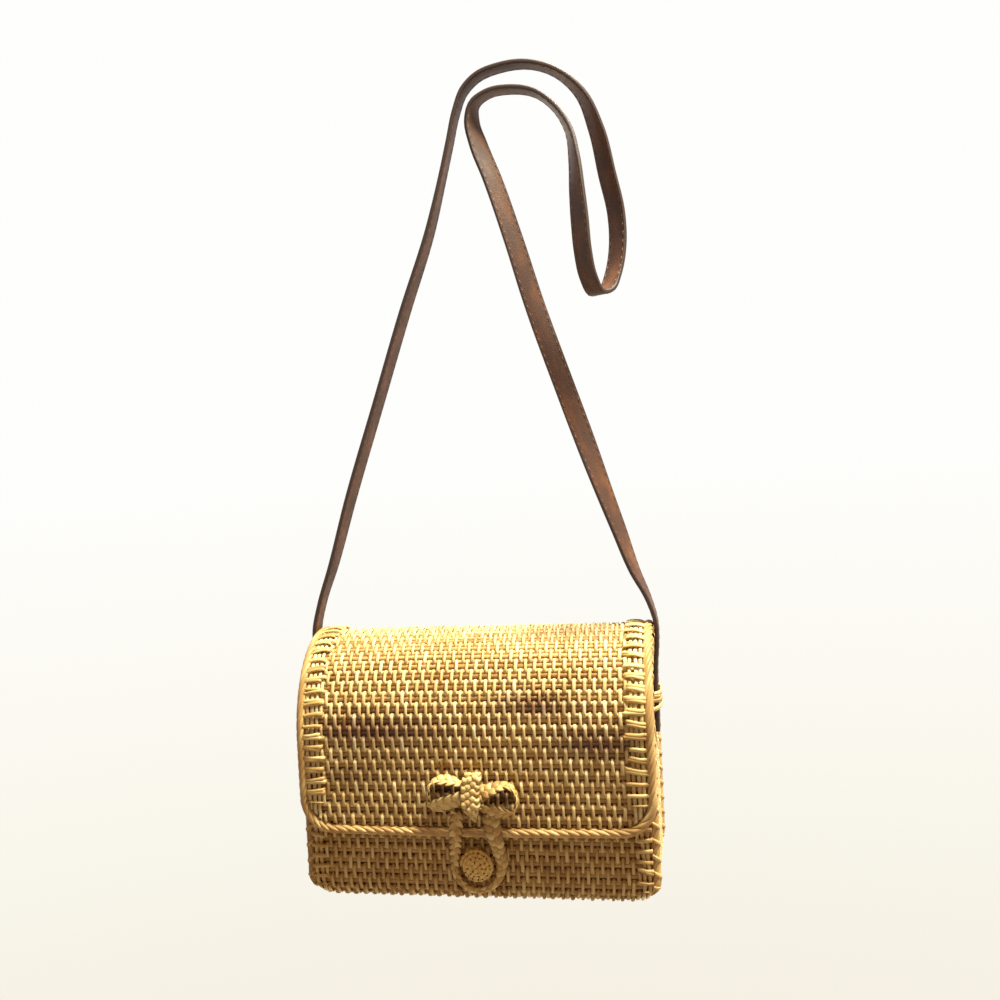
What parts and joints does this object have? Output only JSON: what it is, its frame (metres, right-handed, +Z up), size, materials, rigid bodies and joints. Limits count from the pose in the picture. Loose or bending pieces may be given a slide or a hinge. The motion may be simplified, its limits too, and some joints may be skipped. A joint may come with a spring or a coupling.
{
  "type": "woven shoulder bag",
  "caption": "Hand-woven straw-coloured box bag with an arched flap lid, a bow and button closing and a long leather shoulder strap, hanging from its strap.",
  "frame": {"origin": "the place where the strap is held, straight above the bag's middle", "axes": "+X along the bag's width, to the right as seen from the front; -Y to the front; +Z up"},
  "size_m": [0.2084, 0.1034, 0.473],
  "materials": {
    "woven_grass": "matte woven grass strands",
    "grass_rope": "matte twisted grass rope",
    "plaited_grass": "satin plaited grass strip",
    "strap_leather": "worn brown leather with stitched edges"
  },
  "bodies": {
    "root": {"body_mat": "woven_grass", "end_panel_left": "woven_grass", "end_panel_right": "woven_grass", "end_rope_left": "grass_rope", "end_rope_right": "grass_rope", "mouth_rope_front": "grass_rope", "mouth_rope_back": "grass_rope", "hinge_rope": "grass_rope", "button": "plaited_grass", "button_stem": "plaited_grass", "keeper_left": "plaited_grass", "keeper_right": "plaited_grass", "strap": "strap_leather"},
    "lid": {"lid_mat": "woven_grass", "lid_rope": "grass_rope", "lid_lashing_left": "plaited_grass", "lid_lashing_right": "plaited_grass", "bow_loop_left": "plaited_grass", "bow_loop_right": "plaited_grass", "bow_knot": "plaited_grass", "closing_loop": "plaited_grass"}
  },
  "joints": [
    {"name": "lid_hinge", "type": "hinge", "parent": "root", "child": "lid", "pos_m": [0, 0.0478, -0.3669], "axis": [-1, 0, 0], "range_deg": [0, 110], "deforming": ["strap"]}
  ]
}
